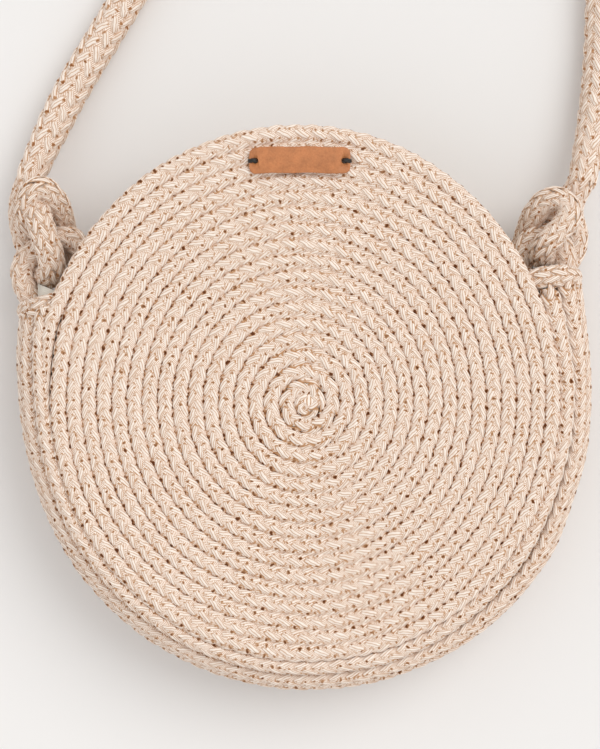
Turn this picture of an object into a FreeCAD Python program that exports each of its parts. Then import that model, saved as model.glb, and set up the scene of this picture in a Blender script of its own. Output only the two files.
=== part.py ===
"""Round handbag of coiled rope, lying on its back with the front panel up. Millimetres.

+Z is out of the front panel, +Y runs to the mouth, and the origin is under the middle of the bag.
"""
import FreeCAD, Part
import math
import os

V = FreeCAD.Vector
UP = V(0, 0, 1)
os.makedirs("parts", exist_ok=True)

# Rope of the panels and the gusset
rope_d = 5.5
seam_gap = 0.5
rest_flat = 0.5
panel_half_turns = 34
spiral_end_deg = 160.0

# Gusset: rows of rope from the front panel's edge round to the back panel's edge
gusset_rows = 8
gusset_span_deg = 220.0
rim_lean_deg = 30.0
middle_lean_deg = 87.0

# Bails: rope arches at the two ends of the gusset, with the strap's hinge line along their tops
bail_d = 8.6
bail_corner_slack = 0.7
bail_inset = 1.0
bail_rise = 24.3
bail_knee_drop = 17.0

# Knots: the strap's ends, hitched round the bails
knot_d = 9.0
hitch_clearance = 0.5
knot_side_room = 1.0
knot_ring_r = 9.8
knot_ring_lift = 3.0
knot_lead = 14.0
knot_turn_in = 9.0

# Strap: a thicker rope, lying loose on the surface beyond the mouth
strap_d = 11.5
strap_floor_clearance = 0.05
strap_low = strap_d / 2 + strap_floor_clearance
strap_route = [
    (-111.6, 92.5, 17.0),
    (-104.6, 110.0, 13.5),
    (-92.0, 136.0, 9.0),
    (-71.6, 168.5, strap_low),
    (-43.0, 222.0, strap_low),
    (-13.0, 288.0, strap_low),
    (21.0, 346.0, strap_low),
    (63.0, 380.0, strap_low),
    (107.0, 362.0, strap_low),
    (128.0, 308.0, strap_low),
    (124.0, 238.0, strap_low),
    (119.0, 176.0, strap_low),
    (117.5, 140.0, 7.5),
    (115.0, 113.0, 12.0),
    (111.5, 93.0, 16.5),
]
arc_run_share = 0.45

# Cloth lining
cloth_t = 0.8
cloth_clearance = 0.3
cloth_seam_gap = 0.1
lining_inset = 3.5
lining_bulge_clearance = 0.4
lining_end_deg = 0.5

# Zip panel across the mouth, with a window for the zip
zip_recess = 6.6
zip_start_deg = 50.0
zip_end_deg = 132.0
zip_mouth_gap = 5.0
coil_d = 2.4
tape_t = 0.6
tape_width = 11.0
tape_overlap = 5.0
tape_window_end_deg = 4.0
stop_length_deg = 1.2
stop_gap_deg = 0.4

# Zip slider and pull tab
slider_rest_deg = 56.0
slider_length_deg = 6.6
slider_plate_t = 1.4
slider_clearance = 0.4
slider_lip_width = 1.2
slider_post_deg = 2.4
ear_t = 1.0
ear_rise = 4.4
ear_length = 4.0
pin_d = 1.6
pin_clearance = 0.1
pull_length = 24.0
pull_width = 8.0
pull_neck_length = 5.0
pull_t = 1.6
pull_side_clearance = 0.2
pull_eye_wall = 1.0
pull_hole_d = 3.6
pull_corner_r = 2.0

# Leather label on the front panel, and its stitches
label_length = 40.0
label_height = 10.8
label_t = 1.5
label_corner_r = 1.6
label_offset = -2.4
label_rim_inset = 10.9
label_seat_gap = 0.1
thread_d = 1.2
thread_inset = 2.3
thread_overhang = 1.0
thread_clearance = 0.2
overrun = 10.0

# Sizes that follow from those above
rope_r = rope_d / 2
pitch = rope_d + seam_gap
half_step = pitch / 2
bail_r = bail_d / 2
knot_r = knot_d / 2
gusset_radius = half_step * (panel_half_turns - 1)
mouth_radius = half_step * panel_half_turns
joint_deg = spiral_end_deg + 180
gusset_end_deg = spiral_end_deg + gusset_span_deg
back_z = rope_r - rest_flat
bail_corner_r = bail_r + bail_corner_slack
bail_span = knot_d + knot_side_room + 2 * bail_corner_r
bail_centre_x = mouth_radius - bail_inset


def direction(angle_deg):
    """Unit vector in the floor plane."""
    return V(math.cos(math.radians(angle_deg)), math.sin(math.radians(angle_deg)), 0)


def gusset_profile():
    """Outward offset and drop of each gusset row, from the front panel's edge to the middle."""
    offset, drop, rows = 0.0, 0.0, []
    half_rows = gusset_rows // 2
    for row in range(half_rows):
        share = row / max(half_rows - 1, 1)
        lean = math.radians(rim_lean_deg + (middle_lean_deg - rim_lean_deg) * share)
        offset += pitch * math.cos(lean)
        drop += pitch * math.sin(lean)
        rows.append((offset, drop))
    return rows


half_profile = gusset_profile()
bulge = half_profile[-1][0]
panel_spacing = 2 * (half_profile[-1][1] + half_step)
front_z = back_z + panel_spacing
middle_z = back_z + panel_spacing / 2
front_top = front_z + rope_r

# The spiral turns on two centres, half a step each side of its eye
spiral_axis = direction(spiral_end_deg)
bail_reach = bail_centre_x + bail_span / 2 + bail_r
right_reach = mouth_radius + bulge + rope_r + half_step / 2 * spiral_axis.x
top_reach = mouth_radius + rope_r + half_step / 2 * spiral_axis.y
bottom_reach = gusset_radius + bulge + rope_r + half_step / 2 * spiral_axis.y
eye = V(bail_reach - right_reach, (bottom_reach - top_reach) / 2, 0)
gusset_centre = eye - spiral_axis * (half_step / 2)
mouth_centre = eye + spiral_axis * (half_step / 2)

# The gusset's two ends, where the bails stand, and the hinge line along the bails' tops
left_foot = gusset_centre + spiral_axis * (gusset_radius + bulge) + UP * middle_z
right_foot = mouth_centre + direction(gusset_end_deg) * (mouth_radius + bulge) + UP * middle_z
hinge_y = max(left_foot.y, right_foot.y) + bail_rise


def save(name, shape):
    """Write one piece and print its volume."""
    if not shape.isValid():
        raise ValueError(name + " is not a valid solid")
    shape.exportStep("parts/" + name + ".step")
    print(name, "solids", len(shape.Solids), "volume", round(shape.Volume, 1))
    return shape


def arc_edge(centre, radius, start_deg, end_deg):
    """Level arc from one angle to another about a centre."""
    middle_deg = (start_deg + end_deg) / 2
    ends = [centre + direction(angle) * radius for angle in (start_deg, middle_deg, end_deg)]
    return Part.Arc(*ends).toShape()


def tube(edges, diameter):
    """Round tube along edges that join tangent to each other, checked against section times length."""
    path = Part.Wire(edges)
    first = edges[0]
    start = first.valueAt(first.FirstParameter)
    along = first.tangentAt(first.FirstParameter)
    section = Part.Wire(Part.makeCircle(diameter / 2, start, along))
    solid = path.makePipeShell([section], True, False)
    solid = solid if solid.ShapeType == "Solid" else Part.Solid(solid)
    expected = math.pi * diameter ** 2 / 4 * path.Length
    print("tube length", round(path.Length, 1), "volume over section times length",
          round(solid.Volume / expected, 4))
    return solid


def rounded_route(points, radii=None):
    """Straight runs joined by tangent arcs, each as large as its runs allow or of the radius given."""
    runs = [points[i + 1] - points[i] for i in range(len(points) - 1)]
    edges, at = [], points[0]
    used = []
    for i in range(1, len(points) - 1):
        before, after = runs[i - 1], runs[i]
        turn = before.getAngle(after)
        shorter = min(before.Length, after.Length)
        radius = arc_run_share * shorter / math.tan(turn / 2)
        if radii:
            radius = radii[i - 1] or radius
        used.append(round(radius, 1))
        reach = radius * math.tan(turn / 2)
        unit_in, unit_out = V(before).normalize(), V(after).normalize()
        start, end = points[i] - unit_in * reach, points[i] + unit_out * reach
        inward = V(unit_out - unit_in).normalize()
        middle = points[i] + inward * (radius / math.cos(turn / 2) - radius)
        edges.append(Part.LineSegment(at, start).toShape())
        edges.append(Part.Arc(start, middle, end).toShape())
        at = end
    edges.append(Part.LineSegment(at, points[-1]).toShape())
    print("route radii", used)
    return edges


def ring_part(outline, centre, start_deg, end_deg):
    """Turn an outline of (radius, height) points, or a face in the XZ plane, about an upright axis."""
    face = outline
    if isinstance(outline, list):
        corners = [V(radius, 0, height) for radius, height in outline]
        face = Part.Face(Part.makePolygon(corners + corners[:1]))
    solid = face.revolve(V(0, 0, 0), UP, end_deg - start_deg)
    solid.rotate(V(0, 0, 0), UP, start_deg)
    solid.translate(centre)
    return solid


def ring_box(inner, outer, low, high, centre, start_deg, end_deg):
    """Curved block between two radii, two heights and two angles."""
    outline = [(inner, low), (outer, low), (outer, high), (inner, high)]
    return ring_part(outline, centre, start_deg, end_deg)


def round_face(radius, height, diameter):
    """Disc in the XZ plane."""
    return Part.Face(Part.Wire(Part.makeCircle(diameter / 2, V(radius, 0, height), V(0, 1, 0))))


def along_gusset(section_at, trim_deg=0):
    """Turn a section along both arcs of the gusset; section_at takes the arc's own radius."""
    first = ring_part(section_at(gusset_radius), gusset_centre, spiral_end_deg + trim_deg, joint_deg)
    second = ring_part(section_at(mouth_radius), mouth_centre, joint_deg, gusset_end_deg - trim_deg)
    return first.fuse(second)


def spiral_panel(height):
    """One rope wound from the eye outward in half turns, each half a step wider than the last."""
    edges, places = [], []
    samples = 24
    for turn in range(panel_half_turns):
        start = spiral_end_deg + 180 * (turn - panel_half_turns)
        outward_half = (panel_half_turns - turn) % 2 == 1
        centre = (mouth_centre if outward_half else gusset_centre) + UP * height
        radius = half_step * (turn + 1)
        edges.append(arc_edge(centre, radius, start, start + 180))
        for i in range(samples):
            places.append(centre + direction(start + 180 * i / samples) * radius)
    gaps = []
    for i, place in enumerate(places):
        for other in places[i + samples:]:
            gaps.append(place.distanceToPoint(other))
    print("spiral least gap to itself", round(min(gaps) - rope_d, 3))
    return tube(edges, rope_d)


def make_panels():
    save("front_panel", spiral_panel(front_z))
    reach = mouth_radius + overrun
    floor_cut = Part.makeBox(2 * reach, 2 * reach, overrun, eye - V(reach, reach, overrun))
    save("back_panel", spiral_panel(back_z).cut(floor_cut))


def make_gusset():
    rows = [(offset, front_z - drop) for offset, drop in half_profile]
    rows += [(offset, back_z + drop) for offset, drop in reversed(half_profile)]
    for number, (offset, height) in enumerate(rows, 1):
        row = along_gusset(lambda radius: round_face(radius + offset, height, rope_d))
        save("gusset_row_%d" % number, row)


# Cloth lining heights, shared with the zip panel
front_cloth_top = front_z - rope_r - cloth_clearance
back_cloth_low = back_z + rope_r + cloth_clearance
side_top = front_cloth_top - cloth_t - cloth_seam_gap
side_low = back_cloth_low + cloth_t + cloth_seam_gap
zip_radius = mouth_radius - zip_recess


def bulged_outline(base, edge_radius, inset):
    """Arc from the lining's front edge out behind the gusset's middle row and in to its back edge."""
    middle = base + bulge - rope_r - lining_bulge_clearance - inset
    ends = [V(edge_radius - inset, 0, side_low), V(edge_radius - inset, 0, side_top)]
    return Part.Arc(ends[0], V(middle, 0, middle_z), ends[1]).toShape(), ends


def lining_section(base):
    outer, outer_ends = bulged_outline(base, base - lining_inset + cloth_t, 0)
    inner, inner_ends = bulged_outline(base, base - lining_inset + cloth_t, cloth_t)
    caps = [Part.LineSegment(outer_ends[i], inner_ends[i]).toShape() for i in (0, 1)]
    return Part.Face(Part.Wire(Part.__sortEdges__([outer, inner] + caps)))


def lining_end_section(base, zip_wall_radius):
    """Wall that closes the lining's end, from inside the zip panel and the rims out to the bulge."""
    outer, ends = bulged_outline(base, base - lining_inset + cloth_t, 0)
    inner_radius = min(zip_wall_radius, base - lining_inset) - cloth_t / 2
    corners = [ends[1], V(inner_radius, 0, side_top), V(inner_radius, 0, side_low), ends[0]]
    sides = [Part.LineSegment(corners[i], corners[i + 1]).toShape() for i in range(3)]
    return Part.Face(Part.Wire(Part.__sortEdges__([outer] + sides)))


def make_lining():
    disc_radius = gusset_radius - half_step / 2 + cloth_t - cloth_seam_gap
    save("front_lining", Part.makeCylinder(disc_radius, cloth_t, eye + UP * (front_cloth_top - cloth_t)))
    save("back_lining", Part.makeCylinder(disc_radius, cloth_t, eye + UP * back_cloth_low))
    side = along_gusset(lining_section, lining_end_deg)
    left_end = ring_part(lining_end_section(gusset_radius, zip_radius + half_step), gusset_centre,
                         spiral_end_deg, spiral_end_deg + lining_end_deg)
    right_end = ring_part(lining_end_section(mouth_radius, zip_radius), mouth_centre,
                          gusset_end_deg - lining_end_deg, gusset_end_deg)
    save("gusset_lining", side.fuse([left_end, right_end]))


# Zip heights: the tapes and coils lie each side of the mouth's open gap
coil_offset = zip_mouth_gap / 2 + coil_d / 2
tape_inner = zip_mouth_gap / 2 + coil_d + cloth_seam_gap
tape_outer = tape_inner + tape_width
tape_low = zip_radius + cloth_t / 2 + cloth_seam_gap
tape_middle = tape_low + tape_t / 2


def make_zip():
    wall = (zip_radius - cloth_t / 2, zip_radius + cloth_t / 2)
    mouth_end_deg = gusset_end_deg - 360
    panel = ring_box(wall[0], wall[1], side_low, side_top, mouth_centre, mouth_end_deg, spiral_end_deg)
    window_half = tape_outer - tape_overlap
    window = ring_box(wall[0] - overrun, wall[1] + overrun, middle_z - window_half,
                      middle_z + window_half, mouth_centre,
                      zip_start_deg - tape_window_end_deg, zip_end_deg + tape_window_end_deg)
    save("zip_panel", panel.cut(window))
    tape_ends = (zip_start_deg - 2 * tape_window_end_deg, zip_end_deg + 2 * tape_window_end_deg)
    for name, side in (("front", 1), ("back", -1)):
        heights = sorted((middle_z + side * tape_inner, middle_z + side * tape_outer))
        tape = ring_box(tape_low, tape_low + tape_t, heights[0], heights[1], mouth_centre, *tape_ends)
        save("zip_tape_" + name, tape)
        coil_face = round_face(tape_middle, middle_z + side * coil_offset, coil_d)
        save("zip_coil_" + name, ring_part(coil_face, mouth_centre, zip_start_deg, zip_end_deg))
    stop_inner, stop_outer = tape_middle - coil_d / 2, tape_middle + coil_d / 2
    stop_reach = tape_inner - cloth_seam_gap
    start_stop = ring_box(stop_inner, stop_outer, middle_z - stop_reach, middle_z + stop_reach, mouth_centre,
                          zip_start_deg - stop_gap_deg - stop_length_deg, zip_start_deg - stop_gap_deg)
    save("zip_stop_start", start_stop)
    end_stop = ring_box(stop_inner, stop_outer, middle_z - stop_reach, middle_z + stop_reach, mouth_centre,
                        zip_end_deg + stop_gap_deg, zip_end_deg + stop_gap_deg + stop_length_deg)
    save("zip_stop_end", end_stop)


# Slider plates stand clear of the coils on both faces of the tapes
plate_gap = coil_d / 2 + slider_clearance
slider_half_width = tape_inner + slider_lip_width
pin_radius_from_centre = tape_middle + plate_gap + slider_plate_t + ear_rise / 2
pin_place = mouth_centre + direction(slider_rest_deg) * pin_radius_from_centre + UP * middle_z


def slider_plate(side):
    """One plate with a lip along each edge that guides the tape; side is 1 for the outer plate."""
    inner_face = tape_middle + side * plate_gap
    outer_face = inner_face + side * slider_plate_t
    lip_face = tape_middle + side * (tape_t / 2 + slider_clearance)
    wide, narrow = slider_half_width, slider_half_width - slider_lip_width + slider_clearance
    outline = [(outer_face, -wide), (outer_face, wide), (lip_face, wide), (lip_face, narrow),
               (inner_face, narrow), (inner_face, -narrow), (lip_face, -narrow), (lip_face, -wide)]
    outline = [(radius, middle_z + height) for radius, height in outline]
    half = slider_length_deg / 2
    return ring_part(outline, mouth_centre, slider_rest_deg - half, slider_rest_deg + half)


def at_slider(shape):
    """Place a shape drawn with X outward, Y along the zip and Z across it, with the pin at the origin."""
    shape.rotate(V(0, 0, 0), UP, slider_rest_deg)
    shape.translate(pin_place)
    return shape


def make_slider():
    half_post = slider_post_deg / 2
    post_half_width = zip_mouth_gap / 2 - slider_clearance
    post = ring_box(tape_middle - plate_gap - slider_plate_t / 2, tape_middle + plate_gap + slider_plate_t / 2,
                    middle_z - post_half_width, middle_z + post_half_width, mouth_centre,
                    slider_rest_deg - half_post, slider_rest_deg + half_post)
    eye_half = pull_t / 2 + pull_side_clearance
    ears = []
    for side in (1, -1):
        low = eye_half if side > 0 else -eye_half - ear_t
        block = Part.makeBox(ear_rise + slider_plate_t / 2, ear_length, ear_t,
                             V(-ear_rise / 2 - slider_plate_t / 2, -ear_length / 2, low))
        ears.append(at_slider(block))
    pin = Part.makeCylinder(pin_d / 2, 2 * (eye_half + ear_t / 2), V(0, 0, -eye_half - ear_t / 2))
    slider = slider_plate(1).fuse([slider_plate(-1), post, at_slider(pin)] + ears)
    save("zip_slider", slider)


def make_pull():
    """Narrow eye on the pin, then a flat tab that lies along the zip."""
    eye_r = pin_d / 2 + pin_clearance + pull_eye_wall
    neck = Part.makeBox(2 * eye_r, pull_neck_length, pull_t, V(-eye_r, 0, -pull_t / 2))
    knuckle = Part.makeCylinder(eye_r, pull_t, V(0, 0, -pull_t / 2))
    tab = Part.makeBox(pull_t, pull_length - pull_neck_length, pull_width,
                       V(-pull_t / 2, pull_neck_length, -pull_width / 2))
    far_edges = [edge for edge in tab.Edges
                 if all(abs(vertex.Point.y - pull_length) < pull_t / 2 for vertex in edge.Vertexes)
                 and edge.Vertexes[0].Point.x != edge.Vertexes[1].Point.x]
    tab = tab.makeFillet(pull_corner_r, far_edges)
    hole = Part.makeCylinder(pull_hole_d / 2, 2 * overrun,
                             V(-overrun, pull_length - pull_width / 2, 0), V(1, 0, 0))
    pin_hole = Part.makeCylinder(pin_d / 2 + pin_clearance, 2 * overrun, V(0, 0, -overrun))
    pull = knuckle.fuse([neck, tab]).cut(hole).cut(pin_hole)
    save("zip_pull", at_slider(pull))


def make_bail(name, side, foot, foot_deg):
    """Rope arch from the gusset's end, up over the hinge line and down to the zip panel's end."""
    outer_x = side * (bail_centre_x + bail_span / 2)
    inner_x = side * (bail_centre_x - bail_span / 2)
    knee = V(outer_x, hinge_y - bail_knee_drop, middle_z)
    sink = V(foot - knee).normalize() * bail_d
    toe_radius = zip_radius + cloth_t / 2 + cloth_clearance
    toe_x = abs(inner_x - mouth_centre.x) - bail_r
    toe_y = mouth_centre.y + math.sqrt(toe_radius ** 2 - toe_x ** 2)
    points = [foot + sink, knee, V(outer_x, hinge_y, middle_z), V(inner_x, hinge_y, middle_z),
              V(inner_x, toe_y, middle_z)]
    arch = tube(rounded_route(points, [None, bail_corner_r, bail_corner_r]), bail_d)
    reach = bail_span + bail_d
    wedge_low = -cloth_clearance if side < 0 else cloth_clearance - reach
    wedge = Part.makeBox(2 * reach, reach, 2 * reach, V(-reach, wedge_low, -reach))
    wedge.rotate(V(0, 0, 0), UP, foot_deg)
    wedge.translate(foot)
    save(name, arch.cut(wedge))


def make_bails():
    make_bail("left_bail", -1, left_foot, spiral_end_deg)
    make_bail("right_bail", 1, right_foot, gusset_end_deg)


def make_knot(name, side, end_point, next_point):
    """Strap end that turns in behind the bail, goes round it, and is held by a ring of rope."""
    x = side * bail_centre_x
    wrap_r = bail_r + hitch_clearance + knot_r
    away = V(next_point - end_point).normalize()
    low, high = middle_z - wrap_r, middle_z + wrap_r
    lead = end_point - away * knot_lead
    turn_in = V(x, hinge_y + knot_turn_in, low)
    edges = rounded_route([end_point, lead, turn_in, V(x, hinge_y, low)])
    edges.append(Part.Arc(V(x, hinge_y, low), V(x, hinge_y - wrap_r, middle_z), V(x, hinge_y, high)).toShape())
    ring_y = hinge_y + wrap_r + knot_ring_r
    edges.append(Part.LineSegment(V(x, hinge_y, high), V(x, ring_y + knot_ring_r, high)).toShape())
    hitch = tube(edges, knot_d)
    ring = Part.makeTorus(knot_ring_r, knot_r, V(x, ring_y, middle_z + knot_ring_lift), UP)
    save(name, hitch.fuse(ring))


def make_strap():
    route = [V(*point) for point in strap_route]
    save("strap_rope", tube(rounded_route(route), strap_d))
    make_knot("left_knot", -1, route[0], route[1])
    make_knot("right_knot", 1, route[-1], route[-2])


def make_label():
    low = front_top + label_seat_gap
    label_x = eye.x + label_offset
    label_y = mouth_centre.y + mouth_radius + rope_r - label_rim_inset
    corner = V(label_x - label_length / 2, label_y - label_height / 2, low)
    plate = Part.makeBox(label_length, label_height, label_t, corner)
    upright = [edge for edge in plate.Edges if edge.Vertexes[0].Point.z != edge.Vertexes[1].Point.z]
    plate = plate.makeFillet(label_corner_r, upright)
    hole_r = thread_d / 2 + thread_clearance
    for name, side in (("left", -1), ("right", 1)):
        hole_x = label_x + side * (label_length / 2 - thread_inset)
        outer_x = label_x + side * (label_length / 2 + thread_overhang)
        plate = plate.cut(Part.makeCylinder(hole_r, 2 * overrun, V(hole_x, label_y, low - overrun)))
        top = low + label_t + label_seat_gap + thread_d / 2
        points = [V(hole_x, label_y, low), V(hole_x, label_y, top), V(outer_x, label_y, top),
                  V(outer_x, label_y, low)]
        save("label_thread_" + name, tube(rounded_route(points), thread_d))
    save("label", plate)


make_panels()
make_gusset()
make_lining()
make_zip()
make_slider()
make_pull()
make_bails()
make_strap()
make_label()
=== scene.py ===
"""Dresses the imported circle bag: coiled and plaited rope, knotted strap, leather label, lining and zip."""

import math

import bmesh
import bpy
from bpy.props import FloatProperty, FloatVectorProperty, PointerProperty
from mathutils import Matrix, Vector


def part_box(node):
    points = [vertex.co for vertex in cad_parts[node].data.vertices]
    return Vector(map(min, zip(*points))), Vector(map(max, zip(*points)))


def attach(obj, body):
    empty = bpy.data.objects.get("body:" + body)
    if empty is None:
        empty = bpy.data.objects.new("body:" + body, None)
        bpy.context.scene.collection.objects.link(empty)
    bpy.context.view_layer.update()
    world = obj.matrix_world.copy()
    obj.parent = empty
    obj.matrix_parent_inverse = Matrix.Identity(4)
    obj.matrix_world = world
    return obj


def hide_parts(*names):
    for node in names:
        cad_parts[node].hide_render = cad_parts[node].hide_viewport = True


bl_info = {
    "name": "Circle bag",
    "version": (1, 0, 0),
    "blender": (4, 5, 0),
    "location": "View3D > Sidebar > Circle bag",
    "description": "Builds the looks of a round bag of coiled braided rope on its packed frame",
    "category": "Object",
}

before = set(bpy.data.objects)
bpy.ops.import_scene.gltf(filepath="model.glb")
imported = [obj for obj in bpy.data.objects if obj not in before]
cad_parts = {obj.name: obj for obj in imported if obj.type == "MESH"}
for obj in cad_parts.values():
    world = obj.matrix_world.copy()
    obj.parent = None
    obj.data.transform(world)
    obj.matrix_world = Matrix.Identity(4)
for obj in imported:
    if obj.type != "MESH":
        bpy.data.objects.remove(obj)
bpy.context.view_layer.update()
MM = 0.001

# Places in the frame, in millimetres: the spiral's eye, the centres that the gusset's and mouth's arcs turn
# about, and the heights of the back panel, the bag's middle and the front panel.
EYE = Vector((0.265, 4.347))
GUSSET_CENTRE = Vector((1.675, 3.834))
MOUTH_CENTRE = Vector((-1.144, 4.860))
BACK_Z, MIDDLE_Z, FRONT_Z = 2.25, 24.333, 46.416
# Radii of the gusset's and mouth's arcs, of the zip's wall and of its tapes and coils.
GUSSET_RADIUS, MOUTH_RADIUS, WALL_RADIUS, ZIP_RADIUS = 99.0, 102.0, 95.4, 96.2
# Angles in degrees where the spiral ends, where the gusset's two arcs join and where the gusset ends.
SPIRAL_END, JOINT, GUSSET_END = 160.0, 340.0, 384.0
# Where the zip's wall starts and how far it runs round the mouth, in degrees.
WALL_START, WALL_SWEEP = 21, 138
# Turns of the spiral, and columns of stitches round the coiled rope.
TURNS, COLUMNS = 17.25, 6
# The gusset's rows from a panel to the middle: how far out and how far from the panel they lie, and the angle
# in degrees that their stitches lean by.
GUSSET_ROWS = [(5.196, 3.0, 50.0), (9.132, 7.528, 31.0), (11.380, 13.091, 12.5), (11.694, 19.083, 1.5)]

# The strap's line in metres: the part's own route, moved by up to 2.5 mm to follow the photo.
STRAP_ROUTE = [
    (-0.1116, 0.0925, 0.0170), (-0.1046, 0.1100, 0.0135), (-0.0920, 0.1360, 0.0090),
    (-0.0716, 0.1685, 0.0072), (-0.0430, 0.2220, 0.0072), (-0.0130, 0.2880, 0.0072),
    (0.0210, 0.3460, 0.0072), (0.0630, 0.3800, 0.0072), (0.1070, 0.3620, 0.0072),
    (0.1280, 0.3080, 0.0072), (0.1250, 0.2380, 0.0072), (0.1212, 0.1760, 0.0072),
    (0.1200, 0.1400, 0.0085), (0.1166, 0.1130, 0.0120), (0.1115, 0.0930, 0.0165),
]

# Lines of the hitches, in millimetres, traced from the photo; depths are judged from what covers what.
LEFT_STAND = [
    (-108.4, 100.5, 15.5), (-111.4, 92.5, 17), (-113.8, 85, 16), (-114.2, 78.5, 14.5), (-112.8, 70.5, 13.2),
    (-110.2, 63.5, 13), (-106.8, 57.9, 17), (-102.8, 55.0, 24.5), (-100.6, 57.4, 31), (-100.8, 62.5, 34),
    (-103.2, 70.3, 35.2), (-105.2, 76.3, 33), (-106.2, 80.5, 28.5), (-106.8, 84, 23), (-107.0, 87, 18.5),
]
LEFT_LOOP = [
    (-108.0, 72.5, 20), (-110.7, 77.5, 26), (-110.3, 83.5, 30.6), (-105.6, 89.4, 32), (-100.0, 85.6, 28.5),
    (-97.6, 79.5, 21.5), (-97.0, 74.5, 15.5), (-95.4, 68.5, 13), (-92.5, 62, 12.5),
]
RIGHT_STAND = [
    (112.8, 101, 14.8), (111.0, 93, 16.5), (107.8, 86, 15.5), (107.0, 80, 14), (109.0, 71, 13),
    (107.0, 63.5, 13), (103, 59, 14),
]
RIGHT_LOOP = [
    (86.5, 63, 13), (88.2, 68.5, 15), (89.6, 74.3, 20.5), (92.0, 80.2, 26.5), (97.6, 85.2, 30.5),
    (103.6, 83.2, 32.2), (104.4, 78.0, 34.2), (99.6, 71.8, 35.4), (94.7, 66.6, 35), (93.3, 63.4, 31),
    (95.2, 62.4, 25.5), (98.6, 62.2, 20), (102, 62.2, 15),
]
RIGHT_TAIL = [(92.5, 84.0, 22), (98.5, 79.0, 20.5), (104.5, 73.0, 19)]
# The bails' arches, which stand at the bag's middle height.
LEFT_BAIL = [
    (-88.0, 44), (-88.0, 58), (-90.2, 67.0), (-96.1, 70.2), (-102.5, 67.6), (-108.0, 64.4), (-112.0, 60.4),
    (-113.0, 55.0), (-111.5, 49.5), (-108.9, 44.5), (-107.2, 38),
]
RIGHT_BAIL = [
    (86.5, 44), (86.5, 58), (88.6, 67.2), (95.0, 71.5), (101.0, 68.2), (103.6, 62.5), (103.8, 56.5),
    (103.0, 50.0), (102.5, 43),
]
# Front halves of the hems that bind the rows' ends; the back halves mirror them.
LEFT_HEM = [
    (-92.0, 44.5, 39.5), (-97.5, 43.2, 42.6), (-102.4, 42.0, 42.4), (-106.8, 41.0, 38.4),
    (-109.6, 40.6, 31.8), (-110.4, 40.6, MIDDLE_Z),
]
RIGHT_HEM = [
    (84.5, 51.6, 39.5), (90.5, 52.8, 42.4), (96.0, 53.8, 42.6), (101.4, 54.2, 39.0),
    (104.8, 54.0, 32.2), (106.0, 54.0, MIDDLE_Z),
]


def linear(text):
    """A hex colour as linear light."""
    values = [int(text[i:i + 2], 16) / 255 for i in (0, 2, 4)]
    return [v / 12.92 if v <= 0.04045 else ((v + 0.055) / 1.055) ** 2.4 for v in values]


class RopeSizes(bpy.types.PropertyGroup):
    """Sizes of the rope and its plaits."""

    pitch: FloatProperty(name="Row pitch", description="Distance from one turn of the panel to the next",
                         default=6.0 * MM, unit="LENGTH")
    rope_radius: FloatProperty(name="Rope radius", description="Half the thickness of the gusset's rope",
                               default=3.4 * MM, unit="LENGTH")
    panel_radius: FloatProperty(name="Panel rope radius", description="Half the width of the panels' rope",
                                default=3.8 * MM, unit="LENGTH")
    rope_step: FloatProperty(name="Plait step", description="Length of one stitch of the coiled rope",
                             default=6.8 * MM, unit="LENGTH")
    strap_radius: FloatProperty(name="Strap radius", description="Half the thickness of the strap's rope",
                                default=7.4 * MM, unit="LENGTH")
    strap_step: FloatProperty(name="Strap plait step", description="Length of one stitch of the strap",
                              default=7.2 * MM, unit="LENGTH")
    knot_radius: FloatProperty(name="Knot rope radius", description="Half the thickness of the knotted strap",
                               default=5.6 * MM, unit="LENGTH")
    knot_step: FloatProperty(name="Knot plait step", description="Length of one stitch in the knots",
                             default=5.2 * MM, unit="LENGTH")
    bail_radius: FloatProperty(name="Bail radius", description="Half the thickness of the bails' rope",
                               default=4.9 * MM, unit="LENGTH")
    bail_step: FloatProperty(name="Bail plait step", description="Length of one stitch in the bails",
                             default=5.4 * MM, unit="LENGTH")


class BagColours(bpy.types.PropertyGroup):
    """Colours of the bag."""

    yarn: FloatVectorProperty(name="Yarn", description="Cotton yarn in the light", subtype="COLOR",
                              default=linear("F9EEE4"), min=0, max=1)
    # The yarn's painted shade: between its plies, at the strands' edges and round the pits.
    yarn_shade: FloatVectorProperty(name="Yarn shade", description="Yarn between its plies", subtype="COLOR",
                                    default=linear("BE9069"), min=0, max=1)
    core: FloatVectorProperty(name="Rope core", description="Strands under the stitches", subtype="COLOR",
                              default=linear("F9EDE3"), min=0, max=1)
    # Painted shade in the plait's holes: dark in the deep pits of the bag's rope, paler in the strap's
    # shallower ones.
    pit_shade: FloatVectorProperty(name="Pits", description="Deep holes at the stitches' ends", subtype="COLOR",
                             default=linear("63371D"), min=0, max=1)
    strap_pit_shade: FloatVectorProperty(name="Strap pits", description="Shallower holes in the strap's plait",
                                   subtype="COLOR", default=linear("8E5A34"), min=0, max=1)
    leather: FloatVectorProperty(name="Leather", description="Label leather", subtype="COLOR",
                                 default=linear("BC794C"), min=0, max=1)
    cloth: FloatVectorProperty(name="Lining", description="Lining cloth", subtype="COLOR",
                               default=linear("EAE2D6"), min=0, max=1)
    brass: FloatVectorProperty(name="Brass", description="Zip metal", subtype="COLOR",
                               default=linear("C9A868"), min=0, max=1)
    floor: FloatVectorProperty(name="Floor", description="Pale table", subtype="COLOR",
                               default=linear("EBEAEA"), min=0, max=1)


def add(tree, kind, inputs=None, **settings):
    """Adds a node with its settings; inputs go by name or number, each a value or (node, output)."""
    node = tree.nodes.new("ShaderNode" + kind)
    for name, value in settings.items():
        setattr(node, name, value)
    for key, value in (inputs or {}).items():
        if isinstance(value, tuple):
            tree.links.new(value[0].outputs[value[1]], node.inputs[key])
        else:
            node.inputs[key].default_value = value
    return node


def start_material(name):
    """A material with an empty tree, or the one made before."""
    material = bpy.data.materials.get(name) or bpy.data.materials.new(name)
    material.use_nodes = True
    material.node_tree.nodes.clear()
    return material, material.node_tree


def full(colour):
    """A colour property with its alpha."""
    return list(colour) + [1.0]


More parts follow.
